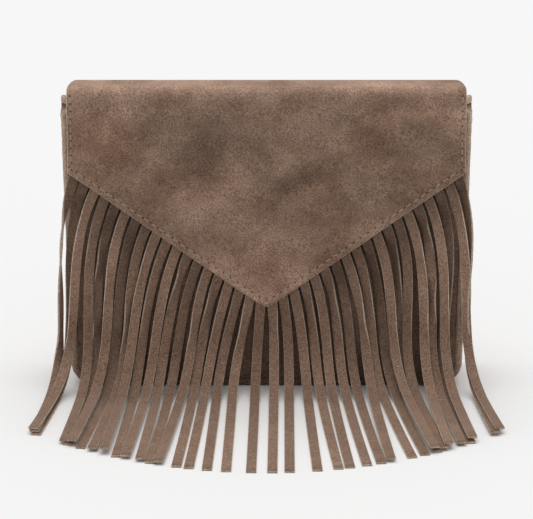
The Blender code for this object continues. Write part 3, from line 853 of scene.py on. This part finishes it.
def gusset_sheet(inset, bottom_lift, seam_inset, pucker):
    """Middle surface of the band: the U times a line across the depth, sagging inwards at the sides.

    The sag is a parabola across the depth, and near the mouth the binding spreads it outwards again.
    Puckers are two sines along the U, by the fifth power of the place across: only at the seams.
    """
    x, z = body_route(inset)
    z = np.maximum(z, inset + bottom_lift)
    across = np.linspace(-1.0, 1.0, 19)
    run = run_along(np.stack([x, z], axis=1))
    normal_x, normal_z = np.gradient(z, run), -np.gradient(x, run)
    length = np.maximum(np.hypot(normal_x, normal_z), 1e-9)
    on_side = smooth((z - 10.0) / 40.0)
    swell = MOUTH_SWELL * smooth((z - PANEL_HEIGHT + MOUTH_SWELL_HEIGHT) / MOUTH_SWELL_HEIGHT)
    inward = (GUSSET_SAG * on_side - swell)[:, None] * (1.0 - across**2)[None, :]
    ripples = (np.sin(2 * pi * run / PUCKER_LENGTH)
               + 0.6 * np.sin(2 * pi * run / SLOW_PUCKER_LENGTH + 1.0))
    inward = inward + pucker * (ripples * on_side)[:, None] * np.abs(across[None, :]) ** 5
    return drawn_in(grid(x[:, None] + (normal_x / length)[:, None] * inward,
                         (half_depth(z) - seam_inset)[:, None] * across,
                         z[:, None] + (normal_z / length)[:, None] * inward))


gusset_points = gusset_sheet(SUEDE / 2, 0.0, SEAM_INSET, PUCKER)
under_binding = np.exp(-((binding_low[2] - gusset_points[:, :, 2]) / GUSSET_SHADE_HEIGHT) ** 2)
gusset = sheet_piece("gusset_suede", gusset_points, SUEDE, body_suede,
                     {"tone": GUSSET_TONE - GUSSET_SHADE * under_binding})
gusset_lining = sheet_piece("gusset_lining_twill",
                            gusset_sheet(LINING_DEPTH, BOARD + GAP, SEAM_INSET + GAP, 0.0),
                            LINING, twill)
declare(gusset, "bag", "suede", "gusset")
declare(gusset_lining, "bag", "lining", "lining_gusset")

# %% [markdown]
# ## Welts
# Front and back are joined to the gusset over a cord of suede, a welt, which gives the side its rolled
# look. A welt is a round section carried round the U. The thread nips it every few millimetres, so its
# radius swells and shrinks by a few hundredths. The upright rolls have a painted highlight and a
# painted sheen, for the light they catch. At the base they don't, and the front one has its panel's
# painted shade there.

# %% Welts round the front and the back
WELT_NIP = 0.05
# Painted highlight and painted sheen on the upright rolls and the binding
ROLL_HIGHLIGHT = 0.45
ROLL_SHEEN = 0.42
ROLL_SHEEN_START = 2.5
ROLL_SHEEN_HEIGHT = 14.0
WELT_POINTS = 14


def welt(name, side, node_name):
    """A circle carried along the U at one face; its radius follows a sine along the run."""
    x, z = body_route(WELT_RADIUS)
    y = side * (half_depth(z) - WELT_RADIUS / cos(TILT))
    path = drawn_in(np.stack([x, y, z], axis=1)[None])
    radius = WELT_RADIUS * (1.0 + WELT_NIP * np.sin(2 * pi * run_along(path[0]) / SIDE_PITCH))
    section = radius[None, :, None, None] * circle(WELT_POINTS)[None, None]
    normal = np.zeros_like(path) + np.array([0.0, 1.0, 0.0])
    points, faces = carried(path, normal, section)
    # Painted highlight on the upright rolls; low down, the front welt takes the panel's painted shade
    sheen_share = smooth((points[:, 2] - ROLL_SHEEN_START) / ROLL_SHEEN_HEIGHT)
    tone = ROLL_HIGHLIGHT * sheen_share + (painted_front_shade(points[:, 0]) * (1.0 - sheen_share) if side < 0 else 0.0)
    piece = make_piece(name, points, faces, body_suede, {"tone": tone, "cut_edge_and_sheen": ROLL_SHEEN * sheen_share})
    declare(piece, "bag", "suede", node_name)


welt("welt_front_suede", -1.0, "seam_welt_front")
welt("welt_back_suede", 1.0, "seam_welt_back")

# %% [markdown]
# ## Mouth binding
# The top of the front and sides is turned over and bound. Its two ends stand out beside the flap as
# small ears. The section is a rounded rectangle, and both its ends are drawn in to a soft nose. It
# bows outwards over the swell of the gusset.

# %% Binding round the mouth
BINDING_CORNER = 4.5
BINDING_REAR_GAP = 3.0
BINDING_EDGE = 0.9
BINDING_NOSE = (0.45, 0.8, 0.95)
BINDING_THICKNESS = SUEDE + GAP + LINING + GAP


def rounded_section(width, height, corner, flat=0.35):
    """A rectangle with chamfered corners and extra points that keep its faces flat, as (m, 2)."""
    w, h = width / 2, height / 2
    quarter = np.array([(w, h - corner), (w - corner * 0.3, h - corner * 0.3), (w - corner, h),
                        (w - corner - flat, h)])
    left = quarter[::-1] * (-1, 1)
    top = np.concatenate([quarter, left])
    return np.concatenate([top, top[::-1] * (1, -1)])


def mouth_path(inset):
    """Plan of the binding: back along the right side, round the front corners, along the left."""
    half = BODY_HALF_TOP - inset
    front = half_depth(PANEL_HEIGHT) - inset
    radius = BINDING_CORNER - inset
    back = half_depth(PANEL_HEIGHT) - BINDING_REAR_GAP
    angle = np.linspace(0.0, pi / 2, 10)
    y_side = np.linspace(back, -front + radius, 14)[:-1]
    x_front = np.linspace(half - radius, 0.0, 24)[1:]
    x = np.concatenate([np.full(len(y_side), half), half - radius + radius * np.cos(angle), x_front])
    y = np.concatenate([y_side, -front + radius - radius * np.sin(angle), np.full(len(x_front), -front)])
    return mirrored(x, y)


binding_x, binding_y = mouth_path(BINDING_THICKNESS / 2)
binding_z = np.full_like(binding_x, (binding_low[2] + binding_high[2]) / 2)
binding_bow = np.clip(1.0 - (binding_y / half_depth(PANEL_HEIGHT)) ** 2, 0.0, 1.0)
binding_x = binding_x * (1.0 + (MOUTH_SWELL - GUSSET_SAG) * binding_bow / BODY_HALF_TOP)
binding_path = drawn_in(np.stack([binding_x, binding_y, binding_z], axis=1)[None])
binding_section = rounded_section(BINDING_THICKNESS, binding_high[2] - binding_low[2], BINDING_EDGE)
taper = np.ones(binding_path.shape[1])
taper[:3] = taper[:-4:-1] = BINDING_NOSE
binding_sections = binding_section[None, None] * taper[None, :, None, None]
binding_up = np.zeros_like(binding_path) + np.array([0.0, 0.0, 1.0])
points, faces = carried(binding_path, binding_up, binding_sections)
# The binding carries the rolls' painted highlight and painted sheen
mouth_binding = make_piece("mouth_binding_suede", points, faces, body_suede,
                           {"tone": np.full(len(points), ROLL_HIGHLIGHT),
                            "cut_edge_and_sheen": np.full(len(points), ROLL_SHEEN)})
declare(mouth_binding, "bag", "suede", "mouth_binding")

# %% [markdown]
# ## Fringe
# Each half of the fringe is one band of suede, slit from below into 19 strips and sewn under the V.
# The strips hang down the front, reach the floor and lie forward on it, fanned outwards.
# A physics run would tangle them in its own way, and the photograph shows exactly where each one
# lies, so each strip is a flat section carried along a curve: down the panel, round a quarter circle,
# forward on the floor. Across the bag it is a cubic from its slot to its knee, the place where it
# meets the floor, and then a parabola to its tip. Both run in the sweep, which is the drop plus a third
# of the way forward, so a strip shows no corner where it turns. All strips of a side are one array.

# %% Where each strip goes
STRIP_WIDTH = 5.3
HEADER = 9.7
SLIT_START = 1.6
FRINGE_SIDE_INSET = 0.9
WALL_LAYER_PITCH = 2.0
FLOOR_LAYER_PITCH = 1.5
REAR_LAYER_OFFSET = 1.2
BEND_RADIUS = 30.0
REACH_AT_CENTRE = 149.0
REACH_FALL = 0.0035
LEAN = 0.45
LEAN_SLOTS = 3.0
# How much of the lean the three outermost strips have, on each side
LEFT_OUTER_LEANS = (1.1, 0.95, 0.85)
RIGHT_OUTER_LEANS = (1.0, 1.0, 0.85)
KNEE_SLOPE_SHARE = 0.85
KNEE_FORWARD = 43.9
FLOOR_SHARE = 0.325
PARTING_LENGTH = 14.0
# Knee and tip across the bag in mm, layer against the panel and layer on the floor, from the V's tip
LEFT_STRIPS = [
    (-6.5, -8, 1, 0), (-19, -21, 2, 0), (-27.7, -31, 1, 0), (-34.8, -40.5, 2, 0),
    (-41, -47, 1, 0), (-47.2, -56.5, 2, 1), (-54.3, -61, 0, 0), (-60.7, -66, 1, 1),
    (-67, -74, 2, 1), (-73.8, -79, 1, 0), (-79.5, -85.5, 2, 2), (-83.8, -92, 1, 1),
    (-90, -98.5, 0, 0), (-95, -103, 2, 2), (-99.5, -105.5, 0, 0), (-102.5, -107.5, 1, 1),
    (-117, -125, 2, 2), (-116.5, -123.5, 0, 0), (-119.5, -124.5, 1, 1)]
RIGHT_STRIPS = [
    (4, 3, 2, 0), (12.5, 12, 1, 0), (23, 26.5, 2, 0), (30.5, 37.5, 1, 0),
    (37, 43.5, 2, 0), (44.5, 52.5, 1, 0), (51.5, 60, 0, 0), (59, 65, 2, 1),
    (65.5, 76.5, 1, 0), (72.5, 83.5, 0, 0), (77.5, 88.5, 2, 2), (79.5, 90.5, 0, 0),
    (83.5, 93.5, 1, 1), (91, 96.5, 2, 2), (96.5, 103.5, 1, 1), (103.5, 109.5, 2, 2),
    (102, 108.5, 0, 0), (118.3, 125, 2, 2), (117, 122.5, 1, 1)]
SLOT_PITCH = (FLAP_HALF - FRINGE_SIDE_INSET - GAP) / len(LEFT_STRIPS)
print("each slot is", round(SLOT_PITCH, 2), "mm wide")

# %% The strips' centre lines


def strip_paths(strips, side, outer_leans):
    """Centre line, normal and run of each strip, as arrays of strip and station.

    Shares along the wall, the bend and the floor give the stations. The distance from the panel
    glides from the band's layer to the strip's own over the parting length. A strip leaves its slot
    at a slant that grows with its number, times the outer leans for the last three.
    """
    knee, tip, wall_layer, floor_layer = (column[:, None] for column in np.array(strips, float).T)
    slot = np.arange(len(strips))[:, None]
    wall = crowded(34, 0.5)
    bend, floor = np.linspace(0.0, 1.0, 14)[1:], np.linspace(0.0, 1.0, 18)[1:]
    root = side * (GAP + (slot + 0.5) * SLOT_PITCH)
    start = flap_edge(root) + SLIT_START
    rest = STRIP_THICKNESS / 2 + FLOOR_LAYER_PITCH * floor_layer
    foot = rest + BEND_RADIUS
    wall_length = start - foot
    wall_run = wall_length * wall
    bend_run = wall_length + BEND_RADIUS * pi / 2 * bend

    own = REAR_LAYER_OFFSET + WALL_LAYER_PITCH * wall_layer
    parted = smooth(np.concatenate([wall_run, bend_run], axis=1) / PARTING_LENGTH)
    away = BAND_MIDDLE + (own - BAND_MIDDLE) * parted
    z = np.concatenate([start - wall_run, foot - BEND_RADIUS * np.sin(bend * pi / 2)], axis=1)
    y = -(half_depth(np.maximum(z, foot)) + away)
    y[:, len(wall):] -= BEND_RADIUS * (1.0 - np.cos(bend * pi / 2))
    reach = REACH_AT_CENTRE - REACH_FALL * tip * tip
    turned = y[:, -1:]
    laid = turned + (-reach - turned) * floor
    run = np.concatenate([wall_run, bend_run, bend_run[:, -1:] + turned - laid], axis=1)
    y = np.concatenate([y, laid], axis=1)
    z = np.concatenate([z, np.repeat(rest, len(floor), axis=1)], axis=1)

    sweep = start - z - FLOOR_SHARE * (y - y[:, :1])
    to_knee = start - rest + FLOOR_SHARE * (KNEE_FORWARD + y[:, :1])
    after = sweep[:, -1:] - to_knee
    lean = side * LEAN * (1.0 - np.exp(-(slot + 0.5) / LEAN_SLOTS))
    lean[-len(outer_leans):, 0] *= outer_leans
    slope = KNEE_SLOPE_SHARE * (tip - knee) / after
    t = np.clip(sweep / to_knee, 0.0, 1.0)
    hang = ((2 * t**3 - 3 * t**2 + 1) * root + (t**3 - 2 * t**2 + t) * to_knee * lean
            + (3 * t**2 - 2 * t**3) * knee + (t**3 - t**2) * to_knee * slope)
    past = np.maximum(sweep - to_knee, 0.0)
    bow = (tip - knee - slope * after) / after**2
    x = np.where(sweep < to_knee, hang, knee + slope * past + bow * past**2)

    angle = np.concatenate([np.zeros(len(wall)), bend, np.ones(len(floor))]) * pi / 2
    normal = np.stack([np.zeros_like(angle), -np.cos(angle), np.sin(angle)], axis=1)
    return np.stack([x, y, z], axis=2), np.repeat(normal[None], len(strips), axis=0), run


# %% Twist
TWIST = radians(28)
SHINGLE = radians(25)
TWIST_LENGTH = 62.0
OUTER_TURN = radians(57)
OUTER_TURN_RUN = 62.0
OUTER_TURN_REACH = 42.0
HANG_START = 18.0
HANG_END = 8.0
HANG_END_LENGTH = 30.0


def twisted(path, normal, run, strips, hand):
    """Normals turned about the strips by a sine along the wall that fades before the floor.

    Cut strips of hide never hang quite flat. Each has its own phase and size, from its number. The
    outer edges also stand forward, like shingles, and the outermost strip turns almost edge-on
    halfway down, by a steep bell curve.
    """
    number = np.arange(len(strips))[:, None]
    tangent = unit(np.gradient(path, axis=1))
    side = unit(np.cross(tangent, normal))
    hung = smooth(run / HANG_START) * smooth((path[:, :, 2] - HANG_END) / HANG_END_LENGTH)
    size = TWIST * (0.6 + 0.4 * np.sin(number * 1.9))
    length = TWIST_LENGTH * (1.0 + 0.4 * np.sin(number * 0.83))
    angle = size * hung * np.sin(2 * pi * run / length + number * 2.2)
    angle += hand * SHINGLE * hung * (0.7 + 0.5 * np.sin(number * 2.9))
    outermost = number == len(strips) - 1
    angle += hand * outermost * OUTER_TURN * np.exp(-((run - OUTER_TURN_RUN) / OUTER_TURN_REACH) ** 4)
    return normal * np.cos(angle)[..., None] + side * np.sin(angle)[..., None]


# %% One slit band
STRIP_CORNER = 0.28
TONE_SPREAD = 0.07
# Painted light and shade: rear strips darker and front strips lighter on the wall, and all darker under
# the flap's edge
LAYER_LIGHT_AND_SHADE = 0.32
LAYER_LIGHT_AND_SHADE_RUN = 130.0
LAYER_LIGHT_AND_SHADE_FADE = 0.8
LAYER_LIGHT_AND_SHADE_SLOTS = 11.0
ROOT_SHADES = (0.36, 0.6)
ROOT_SHADE_REACH = 22.0
DARKEST_TONE = -0.48


def header_sheet(side):
    """The uncut top of the band, between the flap's suede and its lining."""
    x = np.linspace(GAP, FLAP_HALF - FRINGE_SIDE_INSET, 60) * side
    rise = np.linspace(HEADER, SLIT_START, 4)
    z = flap_edge(x) + rise[:, None]
    points = grid(x, -(half_depth(z) + BAND_MIDDLE / cos(TILT)), z)
    return points if side < 0 else points[:, ::-1]


def strip_tone_and_shade(strips, side, run):
    """Tone along each strip: its own, painted shade near the root, and painted light and shade by layer.

    Its own is a sine of its number. The root's shade stands for the flap's shadow, and the layers'
    for front strips lit and rear strips shaded, until the floor. Both count less near the V's tip,
    where little shades the strips.
    """
    number = np.arange(len(strips))
    layer = np.array(strips, float)[:, 2:3]
    outward = np.minimum((number + 0.5) / LAYER_LIGHT_AND_SHADE_SLOTS, 1.0)[:, None]
    fading = 1.0 - LAYER_LIGHT_AND_SHADE_FADE * smooth(run / LAYER_LIGHT_AND_SHADE_RUN)
    tone = TONE_SPREAD * np.sin(2.4 * number + side)[:, None]
    tone = tone - ROOT_SHADES[int(side > 0)] * outward * np.exp(-(run / ROOT_SHADE_REACH) ** 2)
    return np.maximum(tone + LAYER_LIGHT_AND_SHADE * (layer - 1.0) * outward * fading, DARKEST_TONE)


def fringe(name, strips, side, outer_leans, node_name):
    """Strips and header of one side as one piece."""
    path, normal, run = strip_paths(strips, side, outer_leans)
    normal = twisted(path, normal, run, strips, side)
    section = rounded_section(STRIP_WIDTH, STRIP_THICKNESS, STRIP_CORNER)
    points, faces = carried(path, normal, section[None, None])
    at_side = (np.abs(section[:, 0]) > STRIP_WIDTH / 2 - STRIP_CORNER * 0.5).astype(float)
    every_point = (*run.shape, len(section))
    edge = np.broadcast_to(at_side, every_point).ravel()
    tones = np.broadcast_to(strip_tone_and_shade(strips, side, run)[:, :, None], every_point).ravel()
    head, head_faces = sheet_solid(header_sheet(side), STRIP_THICKNESS)[:2]
    faces = faces + [[corner + len(points) for corner in face] for face in head_faces]
    values = {"cut_edge_and_sheen": np.concatenate([edge, np.zeros(len(head))]),
              "tone": np.concatenate([tones, np.zeros(len(head))])}
    piece = make_piece(name, np.concatenate([points, head]), faces, fringe_suede, values)
    declare(piece, "flap", "suede", node_name)
    return piece


fringe_left = fringe("fringe_left_suede", LEFT_STRIPS, -1.0, LEFT_OUTER_LEANS, "fringe_left")
fringe_right = fringe("fringe_right_suede", RIGHT_STRIPS, 1.0, RIGHT_OUTER_LEANS, "fringe_right")
for piece in (fringe_left, fringe_right):
    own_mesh(piece)

# %% [markdown]
# ## Stitching
# A single row of lockstitch holds suede, band and lining together, 1.7 mm inside the flap's edge at
# the sides and 2.7 mm along the V. On the face it shows as short lengths of thread, each rising out of
# one needle hole and sinking into the next. Each stitch is a small round section carried along an arc.

# %% Where the stitches sit
THREAD_RADIUS = 0.3
STITCH_RISE = 0.24
STITCH_SINK = 0.3
STITCH_MARGIN = 0.12
FACE_OFFSET = FLAP_STANDOFF + FLAP_STACK


def flap_face(z):
    """How far forward the flap's face lies at height z on its front."""
    return -(half_depth(z) + FACE_OFFSET / cos(TILT))


def side_seam(side):
    """Line of the seam up one side and round the fold's front, its outward normals, run and holes."""
    column = np.argmin(np.abs(shell[front_row, :, 0] - side * (FLAP_HALF - SIDE_INSET)))
    line = shell[seam_row:, column]
    run = section_run[seam_row:, column] - section_run[front_row, column]
    last = run[-1] - VEE_INSET * 1.5
    holes = np.arange(np.ceil(run[0] / SIDE_PITCH), np.floor(last / SIDE_PITCH) + 1) * SIDE_PITCH
    tangent = unit(np.gradient(line, axis=0))
    outward = np.stack([np.zeros(len(line)), tangent[:, 2], -tangent[:, 1]], axis=1)
    return line + outward * SUEDE / 2, outward, run, holes


def vee_seam(side):
    """The same along one side of the V."""
    x = np.linspace(side * 0.2, (FLAP_HALF - SIDE_INSET * 1.2) * side, 240)
    z = flap_edge(x) + VEE_INSET * V_LENGTH
    line = np.stack([x, flap_face(z) + MARGIN_DIP - WAVE_HEIGHT * waves(x, z), z], axis=1)
    run = np.abs(x) * V_LENGTH
    outward = np.zeros_like(line) + np.array([0.0, -cos(TILT), 0.0])
    return line, outward, run, np.arange(0.0, run[-1], VEE_PITCH)


def on_line(line, run, at):
    """Places on a line at given runs, one coordinate at a time."""
    return np.stack([np.interp(at, run, line[:, axis]) for axis in range(3)], axis=-1)


def stitches(line, outward, run, holes):
    """Arc of each stitch: evenly from hole to hole, lifted by a sine and sunk at both ends."""
    t = np.linspace(0.0, 1.0, 6)
    inside = STITCH_MARGIN + (1.0 - 2 * STITCH_MARGIN) * t
    at = holes[:-1, None] + np.diff(holes)[:, None] * inside[None, :]
    centre = on_line(line, run, at)
    normal = unit(on_line(outward, run, at))
    lift = -STITCH_SINK + (STITCH_SINK + STITCH_RISE) * np.sin(pi * t) ** 0.6
    return centre + normal * lift[None, :, None], normal


seams = [stitches(*seam(side)) for side in (-1.0, 1.0) for seam in (side_seam, vee_seam)]
stitch_paths, stitch_normals = (np.concatenate(part) for part in zip(*seams))
points, faces = carried(stitch_paths, stitch_normals, circle(6, THREAD_RADIUS)[None, None])
stitching = make_piece("flap_stitching", points, faces, thread, {})
blend_at_fold(stitching, *SUEDE_BLEND)
print(len(stitch_paths), "stitches")

# %% [markdown]
# ## Cloth facts
# The suede of back and flap and the twill behind it are sheets folded over the mouth. The suede's flat
# size is measured on its grid where it is built.

# %% [markdown]
# ## Floor and light
# The bag stands on a pale studio sweep. The sky is a large soft box above and around it, plus one
# broad lamp overhead, which makes the top fold and the strips on the floor a little lighter than the
# upright flap; the fold's crest has a painted highlight as well. Together they light a level surface
# at about 1, so a colour renders as it is written.

# %% Floor
FLOOR_COLOUR = "#f6f6f6"
FLOOR_SIZE = 12.0
FLOOR_DROP = 0.05
bpy.ops.mesh.primitive_plane_add(size=FLOOR_SIZE, location=(0.0, 0.0, -FLOOR_DROP * MM))
floor = bpy.context.active_object
floor.name = "studio_floor"
floor_material, floor_tree, floor_shader = new_material("pale_paper_sweep")
floor_shader.inputs["Base Color"].default_value = linear(FLOOR_COLOUR)
floor_shader.inputs["Roughness"].default_value = 1.0
floor_shader.inputs["Specular IOR Level"].default_value = 0.0
floor.data.materials.append(floor_material)

# %% Light
SKY_LEVEL = 0.485
LAMP_LEVEL = 0.53
LAMP_ANGLE = radians(60)
LAMP_TURN = (radians(-6), radians(-2), 0.0)
world = bpy.data.worlds.new("studio")
bpy.context.scene.world = world
world.use_nodes = True
sky = world.node_tree.nodes["Background"]
sky.inputs["Color"].default_value = linear("#ffffff")
sky.inputs["Strength"].default_value = SKY_LEVEL
lamp_data = bpy.data.lights.new("overhead", "SUN")
lamp_data.energy = LAMP_LEVEL * pi
lamp_data.angle = LAMP_ANGLE
lamp = bpy.data.objects.new("overhead", lamp_data)
lamp.rotation_euler = LAMP_TURN
bpy.context.scene.collection.objects.link(lamp)
print("a level surface gets", round(SKY_LEVEL + LAMP_LEVEL, 2))

# %% [markdown]
# ## Camera
# The photograph was taken from a little above with a long lens, so the strips' far ends hardly widen.
# Place and lens were worked out from the body's width at three heights and the fringe's reach.

# %% Camera
CAMERA_PLACE = (0.0, -1.537, 0.567)
CAMERA_TARGET = (0.0, -0.015, 0.0729)
LENS = 195.0
SENSOR = 36.0


def look_at(place, target):
    """A camera's turn about X when it looks from place to target in the YZ plane."""
    forward, fall = target[1] - place[1], place[2] - target[2]
    return pi / 2 - atan(fall / forward)


camera_data = bpy.data.cameras.new("camera")
camera_data.lens = LENS
camera_data.sensor_fit = "HORIZONTAL"
camera_data.sensor_width = SENSOR
camera = bpy.data.objects.new("camera", camera_data)
camera.location = CAMERA_PLACE
camera.rotation_euler = (look_at(CAMERA_PLACE, CAMERA_TARGET), 0.0, 0.0)
bpy.context.scene.collection.objects.link(camera)
bpy.context.scene.camera = camera
bpy.context.scene.view_settings.view_transform = "Standard"
